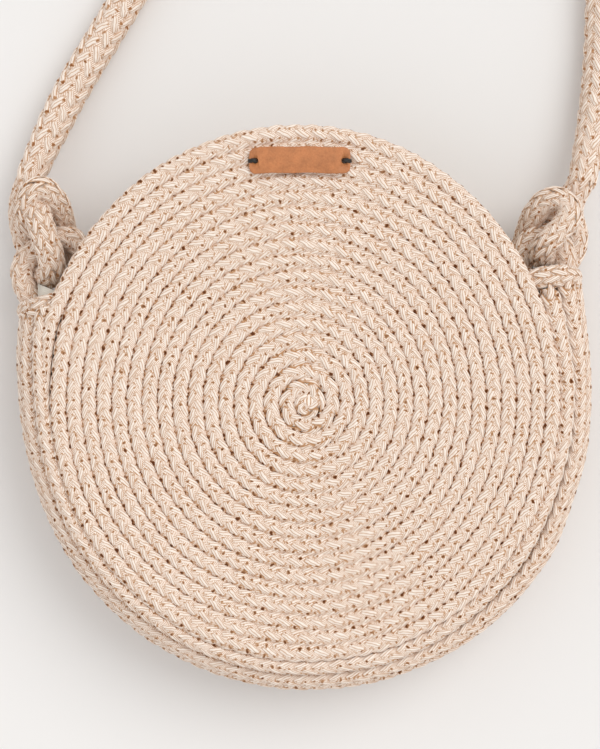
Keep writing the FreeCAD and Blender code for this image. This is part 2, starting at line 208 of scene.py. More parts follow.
def shade_pits(tree, place, tint, pit_shade):
    """The tint with painted pit shade where the stitches' ends meet, warm at the rim and dark inside, no two
    alike.
    """
    colours = bpy.context.scene.bag_colours
    # The lattice map counts steps along the rope and columns round it: two pits to a step, between the
    # columns. The noise's reach is how many steps and columns a pit strays by at most.
    reach = [0.3, 0.6, 0.0]
    noise = add(tree, "TexNoise", {"Vector": (place, "Object"), "Scale": 1 / (2 * MM), "Detail": 1.0})
    chart = add(tree, "UVMap", uv_map="lattice")
    lattice = add(tree, "VectorMath", {0: (noise, "Color"), 1: reach, 2: (chart, "UV")},
                  operation="MULTIPLY_ADD")
    lattice = add(tree, "SeparateXYZ", {0: (lattice, 0)})
    waves = []
    for output, pits, stray in (("X", 2, reach[0]), ("Y", 1, reach[1])):
        turns = 2 * math.pi * pits
        wave = add(tree, "Math", {0: (lattice, output), 1: turns, 2: -turns * stray / 2},
                   operation="MULTIPLY_ADD")
        waves.append(add(tree, "Math", {0: (wave, 0)}, operation="COSINE"))
    depth = add(tree, "Math", {0: (waves[0], 0), 1: (waves[1], 0)}, operation="ADD")
    chance = add(tree, "TexNoise", {"Vector": (place, "Object"), "Scale": 1 / (3 * MM), "Detail": 2.0})
    depth = add(tree, "Math", {0: (chance, "Fac"), 1: 3.2, 2: (depth, 0)}, operation="MULTIPLY_ADD")
    # The panels map their gaps, where the painted pit shade goes deeper, and their tops, where it goes
    # shallower; on the other pieces the map is 0 all over.
    gap = add(tree, "Attribute", attribute_name="gap")
    depth = add(tree, "Math", {0: (gap, "Fac"), 1: (depth, 0)}, operation="ADD")
    # Painted shade in the pits: a warm rim in the yarn's shade, then the pit shade, dark inside.
    for shade, start, end in ((colours.yarn_shade, 2.85, 3.5), (getattr(colours, pit_shade), 3.2, 4.1)):
        share = add(tree, "MapRange", {"Value": (depth, 0), "From Min": start, "From Max": end},
                    interpolation_type="SMOOTHSTEP")
        tint = add(tree, "MixRGB", {"Fac": (share, "Result"), "Color1": (tint, "Color"),
                                    "Color2": full(shade)})
    return tint


def cotton_rope(name, dip, pit_shade):
    """Plaited cotton yarn: matt and soft, each strand a band of three plies with fine shade between them.

    dip is how light the strand stays under the painted shade at its edges, from 0 to 1; the last argument
    names the colour of the painted shade in its holes.
    """
    colours = bpy.context.scene.bag_colours
    material, tree = start_material(name)
    place = add(tree, "TexCoord")
    band = add(tree, "SeparateXYZ", {0: (add(tree, "UVMap", uv_map="plait"), "UV")})
    # Real plies are about 0.5 mm wide; they are drawn twice as wide, three to a strand, so that they show.
    # Their lines wander by up to a third of the strand.
    wander = add(tree, "TexNoise", {"Vector": (place, "Object"), "Scale": 1 / (2.5 * MM), "Detail": 2.0})
    wave = add(tree, "Math", {0: (wander, "Fac"), 1: 0.35, 2: (band, "Y")}, operation="MULTIPLY_ADD")
    wave = add(tree, "Math", {0: (wave, 0), 1: 2 * math.pi * 3.0}, operation="MULTIPLY")
    wave = add(tree, "Math", {0: (wave, 0)}, operation="SINE")
    plies = add(tree, "MapRange", {"Value": (wave, 0), "From Min": -1.0, "From Max": -0.22, "To Min": 0.25})
    patch = add(tree, "TexNoise", {"Vector": (place, "Object"), "Scale": 1 / (3 * MM), "Detail": 3.0})
    patch = add(tree, "MapRange", {"Value": (patch, "Fac"), "From Min": 0.35, "From Max": 0.65,
                                   "To Min": 0.82, "To Max": 1.0})
    light = add(tree, "Math", {0: (plies, "Result"), 1: (patch, "Result")}, operation="MULTIPLY")
    # Painted shade: the strand darkens where its ends and sides dive under the next ones.
    for output, start, end in (("X", 0.35, 0.44), ("Y", 0.34, 0.42)):
        fade = add(tree, "Math", {0: (band, output), 1: 0.5}, operation="SUBTRACT")
        fade = add(tree, "Math", {0: (fade, 0)}, operation="ABSOLUTE")
        fade = add(tree, "MapRange", {"Value": (fade, 0), "From Min": start, "From Max": end,
                                      "To Min": 1.0, "To Max": dip})
        light = add(tree, "Math", {0: (light, 0), 1: (fade, "Result")}, operation="MULTIPLY")
    tint = add(tree, "MixRGB", {"Fac": (light, 0), "Color1": full(colours.yarn_shade),
                                "Color2": full(colours.yarn)})
    tint = shade_pits(tree, place, tint, pit_shade)
    fuzz = add(tree, "TexNoise", {"Vector": (place, "Object"), "Scale": 1 / (0.5 * MM), "Detail": 2.0})
    relief = add(tree, "Math", {0: (fuzz, "Fac"), 1: 0.5, 2: (plies, "Result")}, operation="MULTIPLY_ADD")
    bump = add(tree, "Bump", {"Strength": 0.5, "Distance": 0.25 * MM, "Height": (relief, 0)})
    shader = add(tree, "BsdfPrincipled", {"Base Color": (tint, "Color"), "Normal": (bump, "Normal"),
                                          "Roughness": 0.9, "Specular IOR Level": 0.12,
                                          "Sheen Weight": 0.12, "Sheen Roughness": 0.5})
    add(tree, "OutputMaterial", {"Surface": (shader, "BSDF")})
    return material


def rope_core(name, pit_shade):
    """The lower strands of the plait: the same cotton in more painted warm shade, with painted shade in deep
    pits.
    """
    colours = bpy.context.scene.bag_colours
    material, tree = start_material(name)
    place = add(tree, "TexCoord")
    # Their plies cross under the stitches: lines of painted shade at a slant that changes from column to
    # column.
    lattice = add(tree, "SeparateXYZ", {0: (add(tree, "UVMap", uv_map="lattice"), "UV")})
    slant = add(tree, "Math", {0: (lattice, "Y"), 1: 1.0}, operation="PINGPONG")
    wander = add(tree, "TexNoise", {"Vector": (place, "Object"), "Scale": 1 / (2.5 * MM), "Detail": 2.0})
    slant = add(tree, "Math", {0: (wander, "Fac"), 1: 0.12, 2: (slant, 0)}, operation="MULTIPLY_ADD")
    wave = add(tree, "Math", {0: (lattice, "X"), 1: (slant, 0)}, operation="SUBTRACT")
    wave = add(tree, "Math", {0: (wave, 0), 1: 2 * math.pi * 5.0}, operation="MULTIPLY")
    wave = add(tree, "Math", {0: (wave, 0)}, operation="SINE")
    plies = add(tree, "MapRange", {"Value": (wave, 0), "From Min": -1.0, "From Max": 0.2})
    tint = add(tree, "MixRGB", {"Fac": (plies, "Result"), "Color1": full(colours.yarn_shade),
                                "Color2": full(colours.core)})
    tint = shade_pits(tree, place, tint, pit_shade)
    shader = add(tree, "BsdfPrincipled", {"Base Color": (tint, "Color"), "Roughness": 0.95,
                                          "Specular IOR Level": 0.08})
    add(tree, "OutputMaterial", {"Surface": (shader, "BSDF")})
    return material


def yarns(loose):
    """The materials of a rope's stitches and core, made once: a looser plait gets less painted shade at its
    strands' edges and paler painted shade in its pits.
    """
    stitch, core, dip, pit_shade = "cotton_rope", "rope_core", 0.0, "pit_shade"
    if loose:
        stitch, core, dip, pit_shade = "strap_rope", "strap_core", 0.22, "strap_pit_shade"
    # The frame has materials with the stitches' names, so the core's tells whether both are made.
    if core not in bpy.data.materials:
        cotton_rope(stitch, dip, pit_shade)
        rope_core(core, pit_shade)
    return [bpy.data.materials[name] for name in (stitch, core)]


def put(name, data):
    """A new object at the origin, linked to the scene."""
    thing = bpy.data.objects.new(name, data)
    bpy.context.scene.collection.objects.link(thing)
    return thing


def mesh_of(name, bm):
    """A bmesh as a new mesh."""
    mesh = bpy.data.meshes.new(name)
    bm.to_mesh(mesh)
    bm.free()
    return mesh


def drawn(thing):
    """A mesh of the object as Blender draws it, with its modifiers or bevel worked in."""
    bpy.context.view_layer.update()
    return bpy.data.meshes.new_from_object(thing.evaluated_get(bpy.context.evaluated_depsgraph_get()))


def make_plain(piece):
    """The piece's modifiers worked into its mesh."""
    mesh = drawn(piece)
    piece.modifiers.clear()
    old, piece.data = piece.data, mesh
    bpy.data.meshes.remove(old)
    mesh.name = piece.name


def float_leaf(bm, radius, columns, step, column, core):
    """One stitch of a plait: a strand's run over the others, which dives under them at both ends."""
    leaf = bmesh.ops.create_grid(bm, x_segments=6, y_segments=4, size=1.0, calc_uvs=True)["verts"]
    lean = 1 if column % 2 else -1
    arc = 2 * math.pi / columns
    run = Vector((step, lean * radius * arc))
    half_length, along = run.length / 2, run.normalized()
    across = Vector((-along.y, along.x))
    # Neighbours nearly touch, and a strand narrows towards its ends.
    half_width, narrowing = 0.49 * step * abs(along.y), 0.4
    centre_x = step * (0.25 if column % 2 else 0.75)
    for vert in leaf:
        u, w = vert.co.x, vert.co.y
        spot = along * (u * half_length) + across * (w * half_width * (1 - narrowing * abs(u) ** 4))
        rise = math.sqrt(max(0.0, 1 - abs(w) ** 3)) * (1 - abs(u) ** 5)
        reach = core + (radius - core) * rise
        angle = spot.y / radius + arc * (column + 0.5)
        vert.co = Vector((centre_x + spot.x, reach * math.sin(angle), reach * math.cos(angle)))


def plait_tile(radius, columns, step, shown, turn, relief):
    """One step of a round plait along X: its stitches in the columns shown, over a plain core."""
    bm = bmesh.new()
    bm.loops.layers.uv.new("plait")
    for column in shown:
        float_leaf(bm, radius, columns, step, column, radius * (1 - relief))
    lattice = bm.loops.layers.uv.new("lattice")
    stitches = len(bm.faces)
    core_radius = radius * (1 - 0.65 * relief)
    core = bmesh.ops.create_cone(bm, cap_ends=False, segments=12, radius1=core_radius, radius2=core_radius,
                                 depth=step, matrix=Matrix.Rotation(math.pi / 2, 4, "Y"))["verts"]
    bmesh.ops.translate(bm, verts=core, vec=(step / 2, 0, 0))
    bm.faces.ensure_lookup_table()
    for face in bm.faces:
        face.smooth = True
        face.material_index = 0 if face.index < stitches else 1
        centre = face.calc_center_median()
        middle = math.atan2(centre.y, centre.z)
        for loop in face.loops:
            angle = math.atan2(loop.vert.co.y, loop.vert.co.z) - middle
            angle = middle + (angle + math.pi) % (2 * math.pi) - math.pi
            loop[lattice].uv = (loop.vert.co.x / step, angle * columns / (2 * math.pi))
    bmesh.ops.rotate(bm, verts=bm.verts, matrix=Matrix.Rotation(turn, 3, "X"))
    return mesh_of("plait_tile", bm)


def line(name, points, kind="NURBS", flat=True, widths=None, tilts=None):
    """A curve through the points, in metres; widths and tilts change the rope that is laid along it."""
    curve = bpy.data.curves.new(name, "CURVE")
    curve.dimensions = "3D"
    curve.twist_mode = "Z_UP" if flat else "MINIMUM"
    spline = curve.splines.new(kind)
    knots = spline.bezier_points if kind == "BEZIER" else spline.points
    knots.add(len(points) - 1)
    for index, (knot, place) in enumerate(zip(knots, points)):
        knot.co = place if kind == "BEZIER" else (*place, 1.0)
        knot.radius = widths[index] if widths else 1.0
        knot.tilt = tilts[index] if tilts else 0.0
        if kind == "BEZIER":
            knot.handle_left_type = knot.handle_right_type = "AUTO"
    if kind == "NURBS":
        spline.order_u = 3
        spline.use_endpoint_u = True
    spline.resolution_u = 6
    return put(name, curve)


def points_on(holder):
    """Points along a curve, as Blender draws it."""
    mesh = drawn(holder)
    points = [v.co.copy() for v in mesh.vertices]
    bpy.data.meshes.remove(mesh)
    return points


def repeat_along(piece, holder, count, step):
    """The piece repeated end to end and bent along a curve, as modifiers."""
    array = piece.modifiers.new("repeat", "ARRAY")
    array.count = count
    array.use_relative_offset, array.use_constant_offset = False, True
    array.constant_offset_displace = (step, 0, 0)
    piece.modifiers.new("bend", "CURVE").object = holder


def lay_rope(name, holder, radius, columns, step, shown=None, turn=0.0, relief=0.2, wander=0.5 * MM,
             loose=False):
    """A plaited rope along a curve: the plait's step repeated, bent along the curve and made a plain mesh."""
    points = points_on(holder)
    length = sum((b - a).length for a, b in zip(points, points[1:]))
    count = max(1, round(length / step))
    step = length / count
    tile = plait_tile(radius, columns, step, shown or range(columns), turn, relief)
    for material in yarns(loose):
        tile.materials.append(material)
    piece = put(name, tile)
    repeat_along(piece, holder, count, step)
    for scale, strength in ((4 * MM, wander), (22 * MM, wander * 1.6)):
        texture = bpy.data.textures.new("unevenness", "CLOUDS")
        texture.cloud_type = "COLOR"
        texture.noise_scale = scale
        push = piece.modifiers.new("unevenness", "DISPLACE")
        push.texture = texture
        push.texture_coords = "LOCAL"
        push.direction = "RGB_TO_XYZ"
        push.strength = strength
    make_plain(piece)
    bpy.data.objects.remove(holder)
    return piece


def lay_down(piece):
    """The rope's underside pressed flat on the table, each layer still under the one above it."""
    soft = 0.8 * MM
    for vert in piece.data.vertices:
        if vert.co.z < soft:
            vert.co.z = soft * math.exp(vert.co.z / soft - 1)


def settle(piece, body, node):
    """The piece rides on its body in place of the CAD node it stands for."""
    if not piece.data.polygons:
        raise RuntimeError("%s has no faces" % piece.name)
    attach(piece, body)
    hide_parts(node)


def polar(centre, radius, degrees, z):
    """A point round a centre, from millimetres to metres."""
    angle = math.radians(degrees)
    return Vector((centre.x + radius * math.cos(angle), centre.y + radius * math.sin(angle), z)) * MM


def egg(degrees):
    """How the sewn coils are stretched towards the mouth and drawn in at the right."""
    return (1 + 0.047 * max(0.0, math.sin(math.radians(degrees - 12))) ** 2
            - 0.030 * max(0.0, math.cos(math.radians(degrees - 5))) ** 2)


def rope_turn(degrees):
    """The rope turns by a column from the right side to the left, so that its chevrons point up on both."""
    return math.pi / COLUMNS * (1 - math.cos(math.radians(degrees)))


def spiral_line(name, z, way):
    """The panel's rope, from the eye outwards to an end that tapers away under the gusset."""
    pitch, first = bpy.context.scene.bag_sizes.pitch / MM, 0.42
    count = int(TURNS * 18)
    # The rope's first bit curls into the eye and fills it: radii, angles and how deep it is sunk.
    curl = ((1.0, 40, 0.5), (1.5, 100, 0.2), (2.1, 165, 0))
    points = [polar(EYE, radius, degrees, z - way * sunk) for radius, degrees, sunk in curl]
    widths, tilts = [0.8, 0.95, 1.0], [0.0, 0.0, 0.0]
    for index in range(count + 1):
        turn = first + (TURNS - first) * index / count
        degrees = SPIRAL_END - 360 * (TURNS - turn)
        points.append(polar(EYE, pitch * turn * egg(degrees), degrees, z))
        widths.append(egg(degrees))
        tilts.append(way * rope_turn(degrees))
    for index in range(1, 6):
        degrees = SPIRAL_END + 5 * index
        sunk = 0.5 * index
        points.append(polar(EYE, (pitch * TURNS - sunk) * egg(degrees), degrees, z - way * sunk))
        widths.append(1 - 0.17 * index)
        tilts.append(way * rope_turn(degrees))
    return line(name, points, widths=widths, tilts=tilts)


class BAG_OT_stage(bpy.types.Operator):
    """Pale table, soft light from the upper right and the camera straight above"""

    bl_idname = "bag.stage"
    bl_label = "Stage, light and camera"

    def execute(self, context):
        bm = bmesh.new()
        bmesh.ops.create_grid(bm, x_segments=1, y_segments=1, size=2.0,
                              matrix=Matrix.Translation((0, 0, -0.05 * MM)))
        floor = put("table", mesh_of("table", bm))
        # Painted board: even and matt.
        material, tree = start_material("painted_board")
        shader = add(tree, "BsdfPrincipled", {"Base Color": full(context.scene.bag_colours.floor),
                                              "Roughness": 0.9, "Specular IOR Level": 0.1})
        add(tree, "OutputMaterial", {"Surface": (shader, "BSDF")})
        floor.data.materials.append(material)

        world = bpy.data.worlds.new("studio")
        context.scene.world = world
        world.use_nodes = True
        sky = world.node_tree.nodes["Background"].inputs
        sky["Color"].default_value = full(linear("FFFEFC"))
        sky["Strength"].default_value = 0.85
        lamp = bpy.data.lights.new("window", "SUN")
        lamp.energy, lamp.angle, lamp.color = 1.0, math.radians(40), linear("FFFCF8")
        window = put("window", lamp)
        window.location = (0.75, 0.55, 1.20)
        window.rotation_euler = (-window.location).to_track_quat("-Z", "Y").to_euler()

        # The photo's frame is 292.1 mm high at the front panel, seen from 1000.8 mm above it.
        frame_height, distance, above_table = 292.1, 1000.8, 1050
        lens = bpy.data.cameras.new("camera")
        lens.sensor_width = 36.0
        lens.lens = lens.sensor_width * distance / frame_height
        lens.clip_start, lens.clip_end = 0.05, 20.0
        camera = put("camera", lens)
        camera.location = (-2.07 * MM, 15.46 * MM, above_table * MM)
        context.scene.camera = camera
        context.scene.view_settings.view_transform = "Standard"
        return {"FINISHED"}


def stuff_eye(panel, z):
    """Fills the spiral's eye with the rope's frayed start."""
    step = bpy.context.scene.bag_sizes.rope_step
    bm = bmesh.new()
    bm.from_mesh(panel.data)
    turns = len(bm.faces)
    bmesh.ops.create_uvsphere(bm, u_segments=12, v_segments=6, radius=3.2 * MM,
                              matrix=Matrix.Translation(Vector((EYE.x, EYE.y, z)) * MM)
                              @ Matrix.Diagonal((1.8, 1.8, 1.0, 1.0)))
    lattice = bm.loops.layers.uv["lattice"]
    bm.faces.ensure_lookup_table()
    for face in bm.faces[turns:]:
        face.smooth, face.material_index = True, 1
        for loop in face.loops:
            loop[lattice].uv = (loop.vert.co.x / step, 0.5)
    bm.to_mesh(panel.data)
    bm.free()


def press_flat(panel, z):
    """Presses the sewn turns flat and maps the gaps between them, where most of their pits lie: there the
    painted pit shade goes deeper, and on the turns' tops shallower.
    """
    radius = bpy.context.scene.bag_sizes.panel_radius
    gap = panel.data.attributes.new("gap", "FLOAT", "POINT")
    middle, pressed = z * MM, 0.72
    for vert in panel.data.vertices:
        rise = vert.co.z - middle
        top = min(1.0, max(0.0, (abs(rise) / radius - 0.6) / 0.25))
        gap.data[vert.index].value = 0.5 - 0.75 * top
        vert.co.z = middle + rise * pressed


class BAG_OT_panels(bpy.types.Operator):
    """Front and back panels: one rope each, wound in a flat spiral"""

    bl_idname = "bag.panels"
    bl_label = "Spiral panels"

    def execute(self, context):
        sizes = context.scene.bag_sizes
        for side, z, way in (("front", FRONT_Z, 1), ("back", BACK_Z, -1)):
            holder = spiral_line("panel_line", z, way)
            # Only the stitches on the panel's face are made.
            panel = lay_rope(side + "_panel_rope", holder, sizes.panel_radius, COLUMNS, sizes.rope_step,
                             shown=(5, 0, 1), turn=0.0 if way > 0 else math.pi)
            stuff_eye(panel, z)
            press_flat(panel, z)
            lay_down(panel)
            settle(panel, "bag", side + "_panel")
        return {"FINISHED"}


def sway(point):
    """Where the gusset really hangs: the bail draws its left end out, and its right side is drawn in."""
    y = point.y / MM
    drawn_out = 0.0015 * max(0.0, y + 30) ** 2
    drawn_in = 2.2 * math.exp(-((y - 2) / 30) ** 2)
    point.x -= (drawn_out if point.x < 0 else drawn_in) * MM
    return point


def fan(point, number):
    """The rows fan out towards the right bail, the middle ones most."""
    if point.x > 0:
        share = (0.45, 0.52, 0.85, 1.0)[min(number, 9 - number) - 1]
        point.x += 0.009 * share * max(0.0, point.y / MM - 30) ** 2 * MM
    return point


def first_row(degrees, z):
    """A point of the gusset's first row, sewn along the panel's last turn and round its tapered end."""
    pitch = bpy.context.scene.bag_sizes.pitch / MM
    edge = pitch * (TURNS - 1 + (degrees - SPIRAL_END) / 360) * egg(degrees)
    # Past the taper, which takes 27 degrees, the row lies 4.5 mm out from the turn's middle.
    out = 4.5 + 5.8 * max(0.0, 1 - (degrees - SPIRAL_END) / 27) ** 1.3
    return polar(EYE, edge + out, degrees, z)


class BAG_OT_gusset(bpy.types.Operator):
    """Gusset: rows of rope round the side and bottom"""

    bl_idname = "bag.gusset"
    bl_label = "Gusset rows"

    def execute(self, context):
        sizes = context.scene.bag_sizes
        rows = [(offset, FRONT_Z - drop, lean) for offset, drop, lean in GUSSET_ROWS]
        rows += [(offset, BACK_Z + drop, -lean) for offset, drop, lean in GUSSET_ROWS[::-1]]
        left = [SPIRAL_END - 0.8, SPIRAL_END, SPIRAL_END + 2] + [SPIRAL_END + 9 * i for i in range(1, 20)]
        right = [JOINT + (GUSSET_END - JOINT) * i / 5 for i in range(1, 6)]
        right += [GUSSET_END + 1.0, GUSSET_END + 1.8]
        tilts = [rope_turn(angle) for angle in left + right]
        for number, (offset, z, lean) in enumerate(rows, 1):
            if number in (1, 8):
                # The outer rows lie a little nearer to the panels than in the part.
                lift = 0.7 if number == 1 else -0.7
                points = [first_row(angle, z + lift) for angle in left + right]
            else:
                points = [sway(polar(GUSSET_CENTRE, GUSSET_RADIUS + offset, angle, z)) for angle in left]
                points += [sway(polar(MOUTH_CENTRE, MOUTH_RADIUS + offset, angle, z)) for angle in right]
            points = [fan(point, number) for point in points]
            # The inner rows end slimmer, clear of the knot as it swings past.
            last = [1.25, 1.2, 0.8] if number in (1, 2, 7, 8) else [1.2, 1.1, 0.6]
            widths = [0.6, 1.0] + [1.0] * (len(points) - 7) + [1.1, 1.2] + last
            holder = line("row_line", points, widths=widths, tilts=tilts)
            row = lay_rope("gusset_row_%d_rope" % number, holder, sizes.rope_radius, COLUMNS, sizes.rope_step,
                           turn=math.radians(90 - lean))
            settle(row, "bag", "gusset_row_%d" % number)
        return {"FINISHED"}


class BAG_OT_strap(bpy.types.Operator):
    """Strap: one thick plaited rope along its route"""

    bl_idname = "bag.strap"
    bl_label = "Strap rope"

    def execute(self, context):
        sizes = context.scene.bag_sizes
        ends = [0.78, 0.95]
        widths = ends + [1.0] * (len(STRAP_ROUTE) - 4) + ends[::-1]
        holder = line("strap_line", STRAP_ROUTE, flat=False, widths=widths)
        path = points_on(holder)
        strap = lay_rope("strap_rope_plait", holder, sizes.strap_radius, 10, sizes.strap_step, relief=0.14,
                         wander=0.4 * MM, loose=True)
        lay_down(strap)
        settle(strap, "strap", "strap_rope")
        return {"FINISHED"}


def bent_rope(name, route, widths, radius, **plait):
    """A loosely plaited rope through the points of a route in millimetres."""
    holder = line(name + "_line", [Vector(p) * MM for p in route], "BEZIER", flat=False, widths=widths)
    return lay_rope(name, holder, radius, loose=True, **plait)


def join(name, pieces):
    """Several meshes as one piece."""
    bm = bmesh.new()
    for piece in pieces:
        bm.from_mesh(piece.data)
    mesh = mesh_of(name, bm)
    for material in pieces[0].data.materials:
        mesh.materials.append(material)
    for piece in pieces:
        bpy.data.objects.remove(piece)
    return put(name, mesh)


class BAG_OT_knots(bpy.types.Operator):
    """Hitches that tie the strap's ends to the bails"""

    bl_idname = "bag.knots"
    bl_label = "Strap knots"

    def execute(self, context):
        sizes = context.scene.bag_sizes
        hitches = (("left", (LEFT_STAND, LEFT_LOOP)), ("right", (RIGHT_STAND, RIGHT_LOOP, RIGHT_TAIL)))
        for side, routes in hitches:
            runs = []
            for route in routes:
                # The loops and tails are drawn tighter than the runs that come from the strap.
                radius = sizes.knot_radius * (1.0 if route is routes[0] else 0.89)
                widths = [0.8] + [1.0] * (len(route) - 1)
                runs.append(bent_rope("hitch_run", route, widths, radius, columns=12, step=sizes.knot_step,
                                      relief=0.10, wander=0.3 * MM))
            settle(join(side + "_knot_hitch", runs), "strap", side + "_knot")
        return {"FINISHED"}


class BAG_OT_bails(bpy.types.Operator):
    """Bails: rope arches at the gusset's ends, and the hems that bind the rows there"""

    bl_idname = "bag.bails"
    bl_label = "Bails"

    def execute(self, context):
        sizes = context.scene.bag_sizes
        for side, arch, hem in (("left", LEFT_BAIL, LEFT_HEM), ("right", RIGHT_BAIL, RIGHT_HEM)):
            arch = [(x, y, MIDDLE_Z) for x, y in arch]
            hem = hem + [(x, y, 2 * MIDDLE_Z - z) for x, y, z in hem[-2::-1]]
            runs = []
            for route, radius in ((arch, sizes.bail_radius), (hem, sizes.bail_radius * 0.95)):
                widths = [0.7] + [1.0] * (len(route) - 2) + [0.7]
                runs.append(bent_rope("bail_run", route, widths, radius, columns=10, step=sizes.bail_step,
                                      relief=0.13, wander=0.4 * MM))
            settle(join(side + "_bail_rope", runs), "bag", side + "_bail")
        return {"FINISHED"}


def leather():
    """Vegetable-tanned cowhide, smooth side out: fine pebbled grain, cloudy dye and a soft gloss."""
    colour = bpy.context.scene.bag_colours.leather
    material, tree = start_material("veg_tan_leather")
    place = add(tree, "TexCoord")
    # Pores are 0.35 mm apart, flecks 0.7 mm and clouds of dye 5 mm.
    pores = add(tree, "TexVoronoi", {"Vector": (place, "Object"), "Scale": 1 / (0.35 * MM)})
    cloud = add(tree, "TexNoise", {"Vector": (place, "Object"), "Scale": 1 / (5 * MM), "Detail": 5.0,
                                   "Roughness": 0.65})
    fleck = add(tree, "TexNoise", {"Vector": (place, "Object"), "Scale": 1 / (0.7 * MM), "Detail": 3.0})
    dye = add(tree, "MapRange", {"Value": (cloud, "Fac"), "From Min": 0.3, "From Max": 0.7})
    tint = add(tree, "MixRGB", {"Fac": (dye, "Result"), "Color1": full([c * 0.80 for c in colour]),
                                "Color2": full([min(1, c * 1.18) for c in colour])})
    tint = add(tree, "MixRGB", {"Fac": 0.35, "Color1": (tint, "Color"), "Color2": (fleck, "Fac")},
               blend_type="SOFT_LIGHT")
    bump = add(tree, "Bump", {"Strength": 0.35, "Distance": 0.12 * MM, "Height": (pores, "Distance")})
    shine = add(tree, "MapRange", {"Value": (cloud, "Fac"), "To Min": 0.42, "To Max": 0.62})
    shader = add(tree, "BsdfPrincipled", {"Base Color": (tint, "Color"), "Roughness": (shine, "Result"),
                                          "Normal": (bump, "Normal"), "Specular IOR Level": 0.4})
    add(tree, "OutputMaterial", {"Surface": (shader, "BSDF")})
    return material


def waxed_thread():
    """Twisted polyester cord, waxed and near black: a soft shine along its plies."""
    material, tree = start_material("waxed_thread")
    place = add(tree, "TexCoord")
    fibre = add(tree, "TexNoise", {"Vector": (place, "Object"), "Scale": 1 / (0.4 * MM), "Detail": 2.0})
    tint = add(tree, "MixRGB", {"Fac": (fibre, "Fac"), "Color1": full(linear("0D0C0B")),
                                "Color2": full(linear("2A2725"))})
    bump = add(tree, "Bump", {"Strength": 0.4, "Distance": 0.08 * MM, "Height": (fibre, "Fac")})
    shader = add(tree, "BsdfPrincipled", {"Base Color": (tint, "Color"), "Roughness": 0.5,
                                          "Normal": (bump, "Normal")})
    add(tree, "OutputMaterial", {"Surface": (shader, "BSDF")})
    return material


def woven(name, colour, thread, gloss):
    """Plain-woven cloth: two sets of threads that cross, with the shade of their crossings."""
    material, tree = start_material(name)
    place = add(tree, "TexCoord")
    # Real threads are 0.35 mm apart; they are drawn at the size given, so that they show.
    axes = add(tree, "SeparateXYZ", {0: (place, "Object")})
    round_way = add(tree, "Math", {0: (axes, "X"), 1: (axes, "Y")}, operation="ADD")
    waves = []
    for way, output in ((round_way, 0), (axes, "Z")):
        turns = add(tree, "Math", {0: (way, output), 1: 2 * math.pi / thread}, operation="MULTIPLY")
        waves.append(add(tree, "Math", {0: (turns, 0)}, operation="SINE"))
    weave = add(tree, "Math", {0: (waves[0], 0), 1: (waves[1], 0)}, operation="MULTIPLY")
    slub = add(tree, "TexNoise", {"Vector": (place, "Object"), "Scale": 1 / (3 * MM), "Detail": 4.0})
    level = add(tree, "Math", {0: (weave, 0), 1: 0.25, 2: (slub, "Fac")}, operation="MULTIPLY_ADD")
    tint = add(tree, "MixRGB", {"Fac": (level, 0), "Color1": full([c * 0.72 for c in colour]),
                                "Color2": full(colour)})
    bump = add(tree, "Bump", {"Strength": 0.5, "Distance": 0.15 * MM, "Height": (weave, 0)})
    shader = add(tree, "BsdfPrincipled", {"Base Color": (tint, "Color"), "Roughness": gloss,
                                          "Normal": (bump, "Normal"), "Sheen Weight": 0.1,
                                          "Specular IOR Level": 0.25})
    add(tree, "OutputMaterial", {"Surface": (shader, "BSDF")})
    return material


def nylon():
    """Drawn nylon wire, dyed: smooth with a soft gloss."""
    material, tree = start_material("zip_nylon")
    place = add(tree, "TexCoord")
    cloud = add(tree, "TexNoise", {"Vector": (place, "Object"), "Scale": 1 / (2 * MM)})
    tint = add(tree, "MixRGB", {"Fac": (cloud, "Fac"), "Color1": full(linear("C9B59C")),
                                "Color2": full(linear("DCCBB4"))})
    shader = add(tree, "BsdfPrincipled", {"Base Color": (tint, "Color"), "Roughness": 0.4, "IOR": 1.53})
    add(tree, "OutputMaterial", {"Surface": (shader, "BSDF")})
    return material


def satin_brass():
    """Die-cast and plated in brass, tumbled to a satin: fine random scratches and a slightly uneven shine."""
    colour = bpy.context.scene.bag_colours.brass
    material, tree = start_material("satin_brass")
    place = add(tree, "TexCoord")
    tumble = add(tree, "TexNoise", {"Vector": (place, "Object"), "Scale": 1 / (0.8 * MM), "Detail": 6.0})
    shine = add(tree, "MapRange", {"Value": (tumble, "Fac"), "To Min": 0.22, "To Max": 0.45})
    tint = add(tree, "MixRGB", {"Fac": (tumble, "Fac"), "Color1": full([c * 0.85 for c in colour]),
                                "Color2": full(colour)})
    bump = add(tree, "Bump", {"Strength": 0.1, "Distance": 0.05 * MM, "Height": (tumble, "Fac")})
    shader = add(tree, "BsdfPrincipled", {"Base Color": (tint, "Color"), "Metallic": 1.0,
                                          "Roughness": (shine, "Result"), "Normal": (bump, "Normal")})
    add(tree, "OutputMaterial", {"Surface": (shader, "BSDF")})
    return material


def new_piece(name, bm, material):
    """A bmesh as a smooth piece of the bag."""
    for face in bm.faces:
        face.smooth = True
    piece = put(name, mesh_of(name, bm))
    piece.data.materials.append(material)
    return piece


def thicken(piece, thickness):
    """Cloth given its thickness, half to each side."""
    wall = piece.modifiers.new("thickness", "SOLIDIFY")
    wall.thickness, wall.offset = thickness, 0.0
    make_plain(piece)
    return piece


